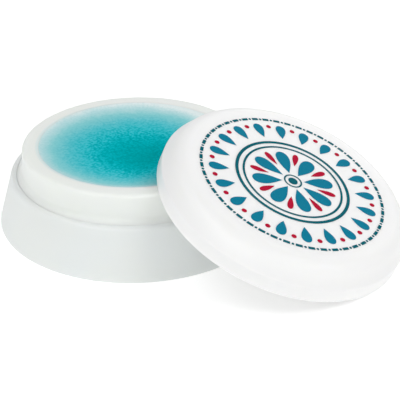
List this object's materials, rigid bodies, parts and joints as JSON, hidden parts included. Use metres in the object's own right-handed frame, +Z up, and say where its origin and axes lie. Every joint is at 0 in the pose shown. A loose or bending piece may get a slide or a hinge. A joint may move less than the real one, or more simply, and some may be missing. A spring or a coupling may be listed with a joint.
{
  "type": "finger moistener",
  "caption": "Low round tub of moistening gel: conical skirt, smooth neck, shallow dish, and a bevelled push-on lid that is off and leans on the rim.",
  "frame": {"origin": "on the table under the middle of the base, in the plane of its foot", "axes": "+Z up along the base's axis, +X from the base's axis towards the leaning lid, +Y to the left of that, seen from above"},
  "size_m": [0.1324, 0.0878, 0.0366],
  "materials": {
    "base_plastic": "satin",
    "cup_plastic": "satin",
    "moistening_gel": "satin",
    "lid_plastic": "satin",
    "liner_foam": "matte"
  },
  "bodies": {
    "base": {"base_shell": "base_plastic", "cup_insert": "cup_plastic", "gel_fill": "moistening_gel"},
    "lid": {"lid_shell": "lid_plastic", "lid_liner": "liner_foam"}
  },
  "joints": [
    {"name": "lid_lift", "type": "slide", "parent": "base", "child": "lid", "axis": [0, 0, 1], "range_m": [0, 0.06]}
  ]
}
